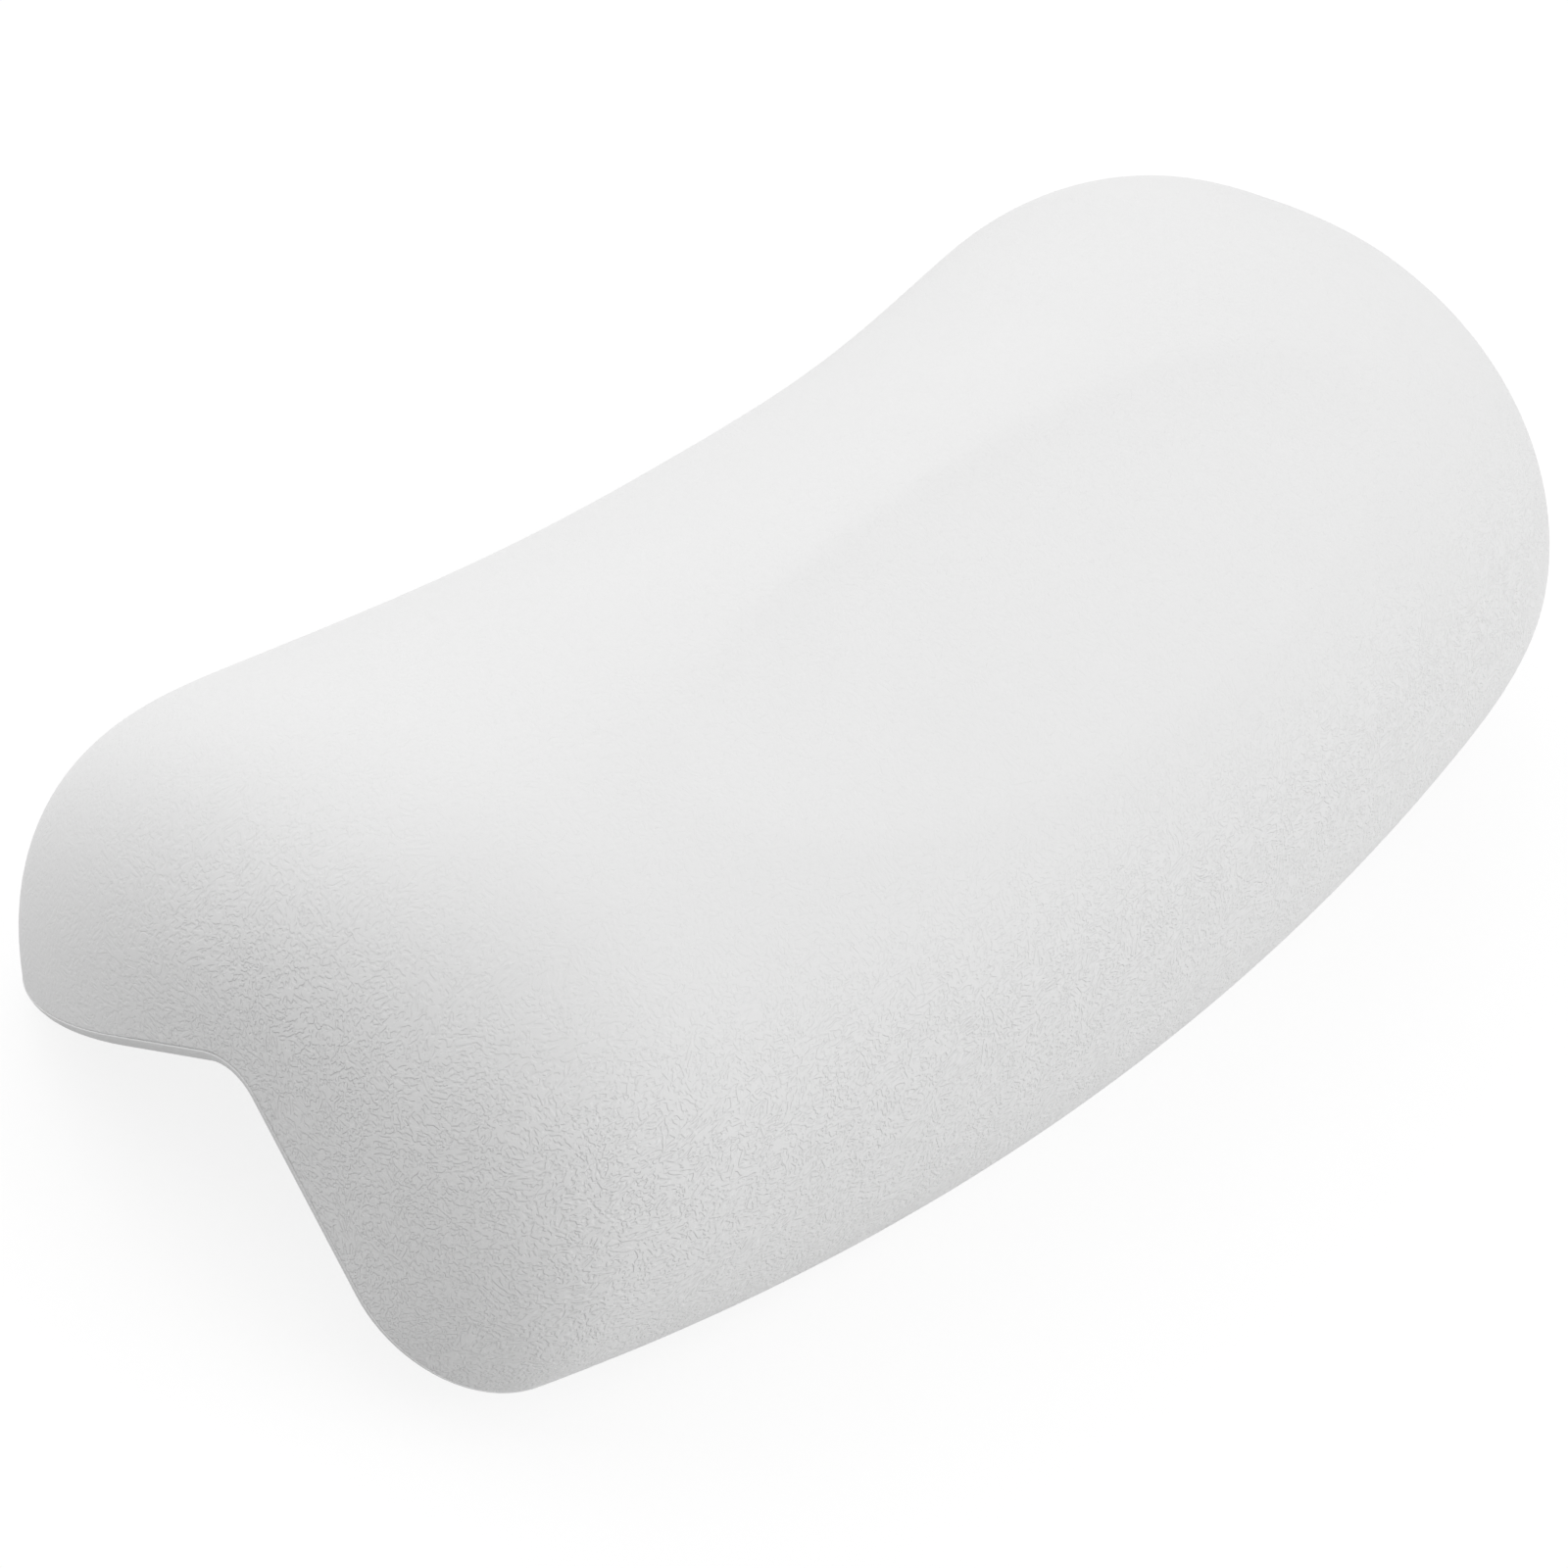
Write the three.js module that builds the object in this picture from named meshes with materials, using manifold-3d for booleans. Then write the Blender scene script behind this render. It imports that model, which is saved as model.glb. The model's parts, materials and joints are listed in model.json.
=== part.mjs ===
// Bath pillow: a moulded foam headrest that hooks over the rim of a bath. Its flap lies on the rim, its pad
// hangs on the inner wall, and four suction cups on the underside hold it there.
// Millimetres, +Z up, X along the pillow, -Y towards the bather. Set down, it stands like a tent on the lower
// edge of its pad, in front, and on the rear edge of its flap. The origin is under the middle of that stand.

import * as THREE from 'three';
import { mergeVertices } from 'three/addons/utils/BufferGeometryUtils.js';
import Module from 'manifold-3d';

const wasm = await Module();
wasm.setup();

// Plan of the pillow. A reach is measured along an arm, from the line where the planes of the two arms meet.
const pillowLength = 300;
const foldDegrees = 69;
const foldRadius = 6;
const padReachMiddle = 81.6;
const padReachEnd = 62.4;
const flapReachMiddle = 54.7;
const flapReachEnd = 74.5;
const padCornerRadius = 22;
const flapCornerRadius = 48.7;

// Crown over the arms, as control radii about the fold line, at the middle and at the ends.
const padCrownMiddle = 54.2;
const padCrownEnd = 42.8;
const ridgeCrownMiddle = 43;
const ridgeCrownEnd = 32.4;
const flapCrownMiddle = 20.2;
const flapCrownEnd = 8.2;
const waistPower = 1.3;
const endRollLength = 45.9;
const endRollPower = 2.55;

// Oval dish for the head, with its middle and half width as angles about the fold line, up from the pad.
// Its edge is softened over a small share of its width.
const dishDepth = 5.2;
const dishLength = 176;
const dishMiddleDegrees = 93;
const dishHalfDegrees = 28;
const dishEndPower = 2.5;
const dishEdgeShare = 0.06;

// Skins. They meet at the parting line, the pillow's widest line. The upper skin ends there, and below it the
// lip of the underside skin turns in to the flats.
const skinWall = 1.8;
const lipHeight = 3.5;
const lipRound = 6.7;
const clearance = 0.3;

// Suction cups and the wells they sit in, two on each arm. Those of the flap keep a margin from its waist.
const cupEndMargin = 65;
const padCupReach = 40;
const flapCupMargin = 20.7;
const cupDiameter = 38;
const wellMargin = 2;
const wellDepth = 7;
const wellChamfer = 1;
const cupStandOut = 4.5;
const cupLandWidth = 2;
const cupRimThickness = 1.2;
const cupCrownThickness = 2.6;
const cupShoulderDiameter = 17;
const neckDiameter = 9;
const headDiameter = 12.6;
const headHeight = 4.8;
const tabWidth = 9;
const tabReach = 6.5;
const tabThickness = 1.1;
const tabRise = 0.3;

// Sockets that hold the cups' necks, and the carrier plates that the sockets snap into.
const flangeDiameter = 20;
const flangeThickness = 1.5;
const sleeveWall = 1.7;
const barbStep = 1.2;
const barbHeight = 2.2;
const plateThickness = 2;
const plateWidth = 26;
const plateOverhang = 15;
const plateCornerRadius = 9;
const keyHoleDiameter = 9;
const keyHolePitch = 34;
const keyHoleCount = 4;

// Fineness of the mesh.
const stations = 24;
const padSteps = 10;
const foldSteps = 3;
const flapSteps = 8;
const lipSteps = 3;
const roundSegments = 24;
const overcut = 1;

// Directions in the section plane, with the flap level, and the heights above the underside.
const fold = THREE.MathUtils.degToRad(foldDegrees);
const halfLength = pillowLength / 2;
const crownSteps = padSteps + foldSteps + flapSteps;
const crownBase = lipHeight + clearance;
const padDirection = new THREE.Vector3(0, -Math.cos(fold), -Math.sin(fold));
const padNormal = new THREE.Vector3(0, -Math.sin(fold), Math.cos(fold));
const flapDirection = new THREE.Vector3(0, 1, 0);
const flapNormal = new THREE.Vector3(0, 0, 1);
const foldTangent = (foldRadius + crownBase) * Math.tan(fold / 2);
const foldCentre = padDirection.clone().multiplyScalar(foldTangent);
foldCentre.addScaledVector(padNormal, -(foldRadius + crownBase));

// Stack along a cup's axis, as heights above the underside, and radii about it.
const cupPitch = pillowLength - 2 * cupEndMargin;
const flapCupReach = flapReachMiddle - flapCupMargin;
const wellRadius = cupDiameter / 2 + wellMargin;
const flangeTop = wellDepth - clearance;
const flangeBottom = flangeTop - flangeThickness;
const cupShoulder = flangeBottom - clearance;
const wellFloorTop = wellDepth + skinWall;
const plateBottom = wellFloorTop + clearance;
const plateTop = plateBottom + plateThickness;
const barbBottom = plateTop + clearance;
const barbTop = barbBottom + barbHeight;
const headBottom = barbTop + clearance;
const headTop = headBottom + headHeight;
const boreRadius = neckDiameter / 2 + clearance;
const sleeveRadius = boreRadius + sleeveWall;
const barbRadius = sleeveRadius + barbStep;
const socketHoleRadius = sleeveRadius + clearance;
const headPocketRadius = Math.max(barbRadius, headDiameter / 2) + clearance;

const skinColour = 0xf0f0ee;
const materials = {
  upperSkin: new THREE.MeshStandardMaterial({ color: skinColour, roughness: 0.55 }),
  undersideSkin: new THREE.MeshStandardMaterial({ color: 0xe6e6e3, roughness: 0.6 }),
  foam: new THREE.MeshStandardMaterial({ color: 0xf1ead2, roughness: 0.95 }),
  plate: new THREE.MeshStandardMaterial({ color: 0xd9d9d4, roughness: 0.5 }),
  socket: new THREE.MeshStandardMaterial({ color: 0xe9e9e6, roughness: 0.45 }),
  cup: new THREE.MeshStandardMaterial({ color: 0xdfe6e8, roughness: 0.2 }),
};

// Bezier value at t of a row of control values.
function bezier(controls, t) {
  let row = controls;
  while (row.length > 1) {
    row = row.slice(1).map((value, i) => row[i] + (value - row[i]) * t);
  }
  return row[0];
}

// How far a rounded plan corner has drawn in at x.
function cornerCut(x, radius, half) {
  const share = Math.max(0, (Math.abs(x) - (half - radius)) / radius);
  return radius * (1 - Math.sqrt(Math.max(0, 1 - share * share)));
}

// Reaches of both arms at x, with the plan corners rounded, for a form set in by inset.
function reaches(x, inset) {
  const along = Math.abs(x) / halfLength;
  const waist = Math.pow(0.5 - 0.5 * Math.cos(Math.PI * along), waistPower);
  const half = halfLength - inset;
  const pad = padReachMiddle + (padReachEnd - padReachMiddle) * along * along - inset;
  const flap = flapReachMiddle + (flapReachEnd - flapReachMiddle) * waist - inset;
  const padCut = cornerCut(x, padCornerRadius - inset, half);
  const flapCut = cornerCut(x, flapCornerRadius - inset, half);
  return { pad, flap, padCut, flapCut, waist, half };
}

// Points of the bent sheet at x and at a height above the underside, from the pad's edge round the fold to
// the flap's edge, each with the normal that points up into the pillow.
function sheetRow(x, inset, height) {
  const reach = reaches(x, inset);
  const padFlat = reach.pad - reach.padCut - foldTangent;
  const flapFlat = reach.flap - reach.flapCut - foldTangent;
  const radius = foldRadius + height;
  const row = [];
  for (let j = 0; j <= crownSteps; j += 1) {
    const onPad = Math.max(0, 1 - j / padSteps);
    const onFlap = Math.max(0, (j - padSteps - foldSteps) / flapSteps);
    const bend = THREE.MathUtils.clamp((j - padSteps) / foldSteps, 0, 1);
    const normal = padNormal.clone().applyAxisAngle(new THREE.Vector3(1, 0, 0), -fold * bend);
    const point = foldCentre.clone().addScaledVector(normal, radius);
    point.addScaledVector(padDirection, padFlat * onPad);
    point.addScaledVector(flapDirection, flapFlat * onFlap);
    point.x = x;
    row.push({ point, normal });
  }
  return row;
}

// One section of the crown at x: the full section, drawn down to the bent sheet where the end rolls off.
function crownRow(x, inset) {
  const reach = reaches(x, inset);
  const blend = (middle, end) => middle + (end - middle) * reach.waist - inset;
  const controls = [
    reach.pad,
    reach.pad,
    blend(padCrownMiddle, padCrownEnd),
    blend(ridgeCrownMiddle, ridgeCrownEnd),
    blend(flapCrownMiddle, flapCrownEnd),
    reach.flap,
    reach.flap,
  ];
  const roll = endRollLength - inset;
  const rolled = Math.max(0, (Math.abs(x) - (reach.half - roll)) / roll);
  const fullness = Math.pow(Math.max(0, 1 - Math.pow(rolled, endRollPower)), 1 / endRollPower);
  return sheetRow(x, inset, crownBase).map(({ point }, j) => {
    const share = j / crownSteps;
    const turn = share * (Math.PI + fold);
    const across = (THREE.MathUtils.radToDeg(turn) - dishMiddleDegrees) / dishHalfDegrees;
    const lengthwise = Math.abs(x) / (dishLength / 2);
    const inside = 1 - across * across - Math.pow(lengthwise, dishEndPower);
    const dish = dishEdgeShare * Math.log1p(Math.exp(inside / dishEdgeShare));
    const radius = bezier(controls, share) - dishDepth * dish;
    const crown = padDirection.clone().applyAxisAngle(new THREE.Vector3(1, 0, 0), -turn).multiplyScalar(radius);
    const alongPad = Math.max(0, crown.dot(padDirection));
    const alongFlap = Math.max(0, crown.dot(flapDirection));
    crown.addScaledVector(padDirection, -alongPad * reach.padCut / reach.pad);
    crown.addScaledVector(flapDirection, -alongFlap * reach.flapCut / reach.flap);
    crown.x = x;
    return crown.sub(point).multiplyScalar(fullness).add(point);
  });
}

// Stations crowd towards the ends, where the crown rolls off and the plan corners turn.
function stationsOf(inset) {
  const places = [];
  for (let i = 0; i <= stations; i += 1) {
    places.push((halfLength - inset) * Math.sin(Math.PI * (i / stations - 0.5)));
  }
  return places;
}

// The edge of a sheet as one loop: along the pad's edge, over the right end, back along the flap, left end.
function edgeLoop(rows) {
  const last = rows.length - 1;
  const padEdge = rows.map((row) => row[0]);
  const rightEnd = rows[last].slice(1);
  const flapEdge = rows.slice(0, last).map((row) => row[crownSteps]).reverse();
  const leftEnd = rows[0].slice(1, crownSteps).reverse();
  return [...padEdge, ...rightEnd, ...flapEdge, ...leftEnd];
}

// Loops down the lip, from a sheet's edge at a height above the underside to the flats.
function lipLoops(inset, height) {
  const edge = edgeLoop(stationsOf(inset).map((x) => sheetRow(x, inset, height)));
  const loops = [];
  for (let step = 0; step <= lipSteps; step += 1) {
    const angle = (Math.PI / 2) * (step / lipSteps);
    loops.push(edge.map(({ point, normal }, k) => {
      const before = edge[(k + edge.length - 1) % edge.length].point;
      const after = edge[(k + 1) % edge.length].point;
      const inward = normal.clone().cross(after.clone().sub(before)).normalize();
      const lowered = point.clone().addScaledVector(normal, -(height - inset) * Math.sin(angle));
      return lowered.addScaledVector(inward, (lipRound - inset) * (1 - Math.cos(angle)));
    }));
  }
  return loops;
}

function quad(a, b, c, d) {
  return [[a, b, c], [a, c, d]];
}

function flip(faces) {
  return faces.map(([a, b, c]) => [a, c, b]);
}

function gridFaces(rows) {
  const faces = [];
  for (let i = 0; i + 1 < rows.length; i += 1) {
    for (let j = 0; j + 1 < rows[i].length; j += 1) {
      faces.push(...quad(rows[i][j], rows[i + 1][j], rows[i + 1][j + 1], rows[i][j + 1]));
    }
  }
  return faces;
}

function stripFaces(from, to) {
  return from.flatMap((point, k) => {
    const next = (k + 1) % from.length;
    return quad(point, to[k], to[next], from[next]);
  });
}

function bandFaces(loops) {
  return loops.slice(1).flatMap((loop, k) => stripFaces(loops[k], loop));
}

// Flat outline as triangles, with across as its second direction beside X.
function flatFaces(outline, across) {
  const flat = outline.map((point) => new THREE.Vector2(point.x, point.dot(across)));
  return THREE.ShapeUtils.triangulateShape(flat, []).map((corners) => corners.map((k) => outline[k]));
}

// The underside inside its lip: the flat of the pad, the round of the fold and the flat of the flap.
function undersideFaces(loop) {
  const rightStart = stations;
  const leftEnd = loop.length;
  const right = (j) => loop[rightStart + j];
  const left = (j) => loop[(leftEnd - j) % leftEnd];
  const padOutline = [];
  for (let j = padSteps; j > 0; j -= 1) {
    padOutline.push(left(j));
  }
  padOutline.push(...loop.slice(0, rightStart + padSteps + 1));
  const flapStart = padSteps + foldSteps;
  const flapOutline = loop.slice(rightStart + flapStart, leftEnd - flapStart + 1);
  const faces = flip(flatFaces(padOutline, padDirection.clone().negate()));
  for (let j = padSteps; j < flapStart; j += 1) {
    faces.push(...quad(left(j), left(j + 1), right(j + 1), right(j)));
  }
  return faces.concat(flip(flatFaces(flapOutline, flapDirection)));
}

// Joins shared corners, and drops the triangles that close up to nothing.
function weld(geometry) {
  const bare = new THREE.BufferGeometry();
  bare.setAttribute('position', geometry.getAttribute('position').clone());
  bare.setIndex(geometry.getIndex());
  const merged = mergeVertices(bare, 1e-3);
  const index = merged.getIndex().array;
  const kept = [];
  for (let k = 0; k < index.length; k += 3) {
    const [a, b, c] = index.slice(k, k + 3);
    if (a !== b && b !== c && c !== a) {
      kept.push(a, b, c);
    }
  }
  merged.setIndex(kept);
  return merged;
}

function bodyOf(faces) {
  const geometry = new THREE.BufferGeometry();
  geometry.setFromPoints(faces.flat());
  return weld(geometry);
}

function solidOf(geometry) {
  const merged = weld(geometry);
  const vertProperties = new Float32Array(merged.getAttribute('position').array);
  const triVerts = new Uint32Array(merged.getIndex().array);
  return new wasm.Manifold(new wasm.Mesh({ numProp: 3, vertProperties, triVerts }));
}

function geometryOf(solid) {
  const mesh = solid.getMesh();
  const geometry = new THREE.BufferGeometry();
  geometry.setAttribute('position', new THREE.BufferAttribute(mesh.vertProperties, mesh.numProp));
  geometry.setIndex(new THREE.BufferAttribute(mesh.triVerts, 1));
  return geometry;
}

// Turns a profile of [radius, height] points about the Z axis.
function revolve(profile) {
  const outline = profile.map(([radius, height]) => new THREE.Vector2(radius, height));
  return new THREE.LatheGeometry(outline, roundSegments).rotateX(Math.PI / 2);
}

function cylinder(radius, bottom, top) {
  return revolve([[0, bottom], [radius, bottom], [radius, top], [0, top]]);
}

// Frames of the two arms: X along the pillow, Z into it from the underside, Y in the arm's plane.
const arms = [
  { name: 'pad', normal: padNormal, turn: fold, towardsEdge: -1, cupReach: padCupReach },
  { name: 'flap', normal: flapNormal, turn: 0, towardsEdge: 1, cupReach: flapCupReach },
];
const sides = [
  { name: 'left', x: -cupPitch / 2 },
  { name: 'right', x: cupPitch / 2 },
];

function armFrame(arm) {
  const frame = new THREE.Group();
  frame.rotation.x = arm.turn;
  frame.position.copy(arm.normal).multiplyScalar(-crownBase);
  frame.updateMatrix();
  return frame;
}

// Copies of one tool at all four cup places.
function atCups(geometry) {
  return arms.flatMap((arm) => sides.map((side) => {
    const placed = geometry.clone().translate(side.x, arm.towardsEdge * arm.cupReach, 0);
    return solidOf(placed.applyMatrix4(armFrame(arm).matrix));
  }));
}

// Shell over the foam, from the parting line up.
function upperSkin() {
  const outer = stationsOf(0).map((x) => crownRow(x, 0));
  const inner = stationsOf(skinWall).map((x) => crownRow(x, skinWall));
  const rim = stripFaces(edgeLoop(outer), edgeLoop(inner));
  return bodyOf([...gridFaces(outer), ...flip(gridFaces(inner)), ...rim]);
}

// Tray under the foam, with a walled well for each cup and a hole in each well's floor for the socket.
function undersideSkin() {
  const outer = lipLoops(0, lipHeight);
  const inner = lipLoops(skinWall, lipHeight);
  const outside = [...bandFaces(outer), ...undersideFaces(outer[lipSteps])];
  const inside = [...bandFaces(inner), ...undersideFaces(inner[lipSteps])];
  const tray = bodyOf([...outside, ...flip(inside), ...stripFaces(inner[0], outer[0])]);
  const wellWall = cylinder(wellRadius + skinWall, skinWall / 2, wellFloorTop);
  const wellSpace = revolve([
    [0, -overcut],
    [wellRadius + wellChamfer + overcut, -overcut],
    [wellRadius, wellChamfer],
    [wellRadius, wellDepth],
    [0, wellDepth],
  ]);
  const socketHole = cylinder(socketHoleRadius, wellDepth - overcut, wellFloorTop + overcut);
  let skin = solidOf(tray);
  atCups(wellWall).forEach((tool) => { skin = skin.add(tool); });
  atCups(wellSpace).forEach((tool) => { skin = skin.subtract(tool); });
  atCups(socketHole).forEach((tool) => { skin = skin.subtract(tool); });
  return geometryOf(skin);
}

// Flat plate with rounded corners that carries an arm's two sockets. The foam keys through its row of holes.
// Grown on all sides, it is the pocket that the plate leaves in the foam.
function carrierPlate(grow) {
  const halfPlate = cupPitch / 2 + plateOverhang + grow;
  const halfWidth = plateWidth / 2 + grow;
  const corner = plateCornerRadius + grow;
  const shape = new THREE.Shape();
  shape.absarc(halfPlate - corner, halfWidth - corner, corner, 0, Math.PI / 2);
  shape.absarc(corner - halfPlate, halfWidth - corner, corner, Math.PI / 2, Math.PI);
  shape.absarc(corner - halfPlate, corner - halfWidth, corner, Math.PI, 1.5 * Math.PI);
  shape.absarc(halfPlate - corner, corner - halfWidth, corner, 1.5 * Math.PI, 2 * Math.PI);
  const holes = sides.map((side) => ({ x: side.x, radius: socketHoleRadius }));
  for (let k = 0; k < keyHoleCount; k += 1) {
    holes.push({ x: (k - (keyHoleCount - 1) / 2) * keyHolePitch, radius: keyHoleDiameter / 2 });
  }
  holes.forEach(({ x, radius }) => {
    shape.holes.push(new THREE.Path().absarc(x, 0, radius - grow, 0, 2 * Math.PI, true));
  });
  const depth = plateThickness + 2 * grow;
  const plate = new THREE.ExtrudeGeometry(shape, { depth, bevelEnabled: false, curveSegments: 6 });
  return plate.translate(0, 0, plateBottom - grow);
}

// Foam body, whose lip goes on from the crown's own edge, with pockets for the wells, the plates, the sockets'
// barbs and the cups' heads.
function foamCore() {
  const inset = skinWall + clearance;
  const crown = stationsOf(inset).map((x) => crownRow(x, inset));
  const lip = lipLoops(inset, crownBase);
  lip[0] = edgeLoop(crown);
  let foam = solidOf(bodyOf([...gridFaces(crown), ...bandFaces(lip), ...undersideFaces(lip[lipSteps])]));
  const wellPocket = cylinder(wellRadius + inset, 0, wellFloorTop + clearance);
  const headPocket = cylinder(headPocketRadius, wellDepth, headTop + clearance);
  atCups(wellPocket).forEach((tool) => { foam = foam.subtract(tool); });
  atCups(headPocket).forEach((tool) => { foam = foam.subtract(tool); });
  arms.forEach((arm) => {
    const pocket = carrierPlate(clearance).translate(0, arm.towardsEdge * arm.cupReach, 0);
    foam = foam.subtract(solidOf(pocket.applyMatrix4(armFrame(arm).matrix)));
  });
  return geometryOf(foam);
}

// Flanged sleeve that snaps up through the well's floor and the carrier plate.
function cupSocket() {
  return weld(revolve([
    [boreRadius, flangeBottom],
    [flangeDiameter / 2, flangeBottom],
    [flangeDiameter / 2, flangeTop],
    [sleeveRadius, flangeTop],
    [sleeveRadius, barbBottom],
    [barbRadius, barbBottom],
    [sleeveRadius, barbTop],
    [boreRadius, barbTop],
    [boreRadius, flangeBottom],
  ]));
}

// Suction cup turned about its own axis: sealing land, bell, neck and mushroom head, with a pull tab.
function suctionCup() {
  const rim = cupDiameter / 2;
  const lip = -cupStandOut;
  const land = rim - cupLandWidth;
  const shoulder = cupShoulderDiameter / 2;
  const hollowTop = cupShoulder - cupCrownThickness;
  const bellTop = lip + cupRimThickness;
  const hollow = [];
  const bell = [];
  const curveSteps = 3;
  for (let k = 0; k < curveSteps; k += 1) {
    const angle = (Math.PI / 2) * (k / curveSteps);
    hollow.push([land * Math.sin(angle), lip + (hollowTop - lip) * Math.cos(angle)]);
    const fall = 1 - Math.cos(angle + Math.PI / 2 / curveSteps);
    const out = Math.sin(angle + Math.PI / 2 / curveSteps);
    bell.push([rim + (shoulder - rim) * fall, bellTop + (cupShoulder - bellTop) * out * out]);
  }
  const cup = revolve([
    ...hollow,
    [land, lip],
    [rim, lip],
    [rim, bellTop],
    ...bell,
    [neckDiameter / 2, cupShoulder],
    [neckDiameter / 2, headBottom],
    [headDiameter / 2, headBottom],
    [headDiameter / 2, headBottom + headHeight / 3],
    [headDiameter / 3, headTop],
    [0, headTop],
  ]);
  const tongue = new THREE.Shape();
  const tabEnd = rim + tabReach - tabWidth / 2;
  tongue.moveTo(-tabWidth / 2, land);
  tongue.lineTo(tabWidth / 2, land);
  tongue.absarc(0, tabEnd, tabWidth / 2, 0, Math.PI);
  const tab = new THREE.ExtrudeGeometry(tongue, { depth: tabThickness, bevelEnabled: false, curveSegments: 8 });
  return geometryOf(solidOf(cup).add(solidOf(tab.translate(0, 0, lip + tabRise))));
}

function meshOf(name, geometry, material) {
  const mesh = new THREE.Mesh(geometry, material);
  mesh.name = name;
  return mesh;
}

const pillow = new THREE.Group();
pillow.add(meshOf('upper_skin', upperSkin(), materials.upperSkin));
pillow.add(meshOf('underside_skin', undersideSkin(), materials.undersideSkin));
pillow.add(meshOf('foam_core', foamCore(), materials.foam));
arms.forEach((arm) => {
  const frame = armFrame(arm);
  const cupLine = arm.towardsEdge * arm.cupReach;
  const plate = meshOf(`${arm.name}_carrier_plate`, carrierPlate(0), materials.plate);
  plate.position.y = cupLine;
  frame.add(plate);
  sides.forEach((side) => {
    const socket = meshOf(`${arm.name}_socket_${side.name}`, cupSocket(), materials.socket);
    const cup = meshOf(`${arm.name}_cup_${side.name}`, suctionCup(), materials.cup);
    socket.position.set(side.x, cupLine, 0);
    cup.position.set(side.x, cupLine, 0);
    cup.rotation.z = arm.towardsEdge > 0 ? 0 : Math.PI;
    frame.add(socket, cup);
  });
  pillow.add(frame);
});

// Tilts the pillow until the lowest points of pad and flap are level, so that it stands on both.
function settle(group, skin) {
  const position = skin.geometry.getAttribute('position');
  const points = [];
  for (let k = 0; k < position.count; k += 1) {
    points.push(new THREE.Vector3().fromBufferAttribute(position, k));
  }
  const tries = 12;
  for (let k = 0; k < tries; k += 1) {
    const height = (point) => point.y * Math.sin(group.rotation.x) + point.z * Math.cos(group.rotation.x);
    const lowest = (list) => list.reduce((low, point) => (height(point) < height(low) ? point : low));
    const front = lowest(points.filter((point) => point.y < 0));
    const rear = lowest(points.filter((point) => point.y > 0));
    group.rotation.x = -Math.atan2(rear.z - front.z, rear.y - front.y);
  }
}

const bathPillow = new THREE.Group();
bathPillow.name = 'bath_pillow';
bathPillow.add(pillow);
settle(pillow, pillow.getObjectByName('underside_skin'));
const box = new THREE.Box3().setFromObject(bathPillow, true);
pillow.position.set(-(box.min.x + box.max.x) / 2, -(box.min.y + box.max.y) / 2, -box.min.z);
bathPillow.updateMatrixWorld(true);

export default bathPillow;
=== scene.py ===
# %% [markdown]
# # A bath pillow, dressed in Blender
#
# The real thing is a moulded foam headrest. Its flap lies on the rim of a bath, its pad hangs on the inner
# wall, and four suction cups in wells on the underside hold it there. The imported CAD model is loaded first,
# as a fixed frame in metres, and every visible piece is then built in that same frame.

# %% Load the frame
import json
import math

import bpy
import numpy as np
from mathutils import Matrix, Quaternion, Vector


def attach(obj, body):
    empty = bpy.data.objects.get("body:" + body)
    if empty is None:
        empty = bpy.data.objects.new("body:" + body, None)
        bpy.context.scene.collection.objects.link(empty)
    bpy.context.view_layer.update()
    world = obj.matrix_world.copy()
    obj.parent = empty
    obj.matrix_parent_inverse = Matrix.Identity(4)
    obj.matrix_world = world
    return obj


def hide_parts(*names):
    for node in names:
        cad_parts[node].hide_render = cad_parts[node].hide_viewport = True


MM = 0.001

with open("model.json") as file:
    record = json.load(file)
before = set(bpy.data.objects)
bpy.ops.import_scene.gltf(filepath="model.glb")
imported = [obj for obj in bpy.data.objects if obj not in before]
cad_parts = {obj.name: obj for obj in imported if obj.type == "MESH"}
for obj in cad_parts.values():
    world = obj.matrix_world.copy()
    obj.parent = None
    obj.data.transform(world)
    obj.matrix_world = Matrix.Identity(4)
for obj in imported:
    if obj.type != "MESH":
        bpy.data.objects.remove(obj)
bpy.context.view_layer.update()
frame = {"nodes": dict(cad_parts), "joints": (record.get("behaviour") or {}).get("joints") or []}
bpy.ops.object.select_all(action="DESELECT")

# %% [markdown]
# ## Camera
#
# The photograph was taken from beyond the left end, in front and above, with a long lens. A camera could be
# turned by hand until the outline fits. Here it is given the way a photographer would note it down: the
# point it looks at, how far away it stands, its two angles and its roll. The pillow stands on a table in
# this frame, and it was held at another tilt for the photograph, so the camera is rolled instead.

# %% Camera
aim_point = Vector((-0.0145, 0.0033, 0.0270))
aim_distance = 1.0134
camera_azimuth = math.radians(-67.700)
camera_elevation = math.radians(42.580)
camera_roll = math.radians(25.673)

towards_camera = Vector((
    math.sin(camera_azimuth) * math.cos(camera_elevation),
    -math.cos(camera_azimuth) * math.cos(camera_elevation),
    math.sin(camera_elevation),
))
bpy.ops.object.camera_add()
camera = bpy.context.object
camera.name = "photo_camera"
camera.data.sensor_width = 36.0
camera.data.lens = 141.66
camera.location = aim_point + towards_camera * aim_distance
camera.rotation_mode = "QUATERNION"
level_view = (-towards_camera).to_track_quat("-Z", "Y")
camera.rotation_quaternion = level_view @ Quaternion((0, 0, 1), camera_roll)
bpy.context.scene.camera = camera
print("camera at", [round(value, 3) for value in camera.location])

# %% [markdown]
# ## Where the arms lie
#
# The pillow is bent: the pad and the flap are two arms that meet at a fold. Their places could be typed in,
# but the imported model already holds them. Each suction cup turns about an axis square to its arm, so the
# joints give the arms' directions, and the fold line follows from one cup's place.

# %% Directions of the arms
cup_stand_out = 4.5
flap_cup_reach = 34.0
lip_height = 3.5
seam_gap = 0.3
crown_base = lip_height + seam_gap

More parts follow.
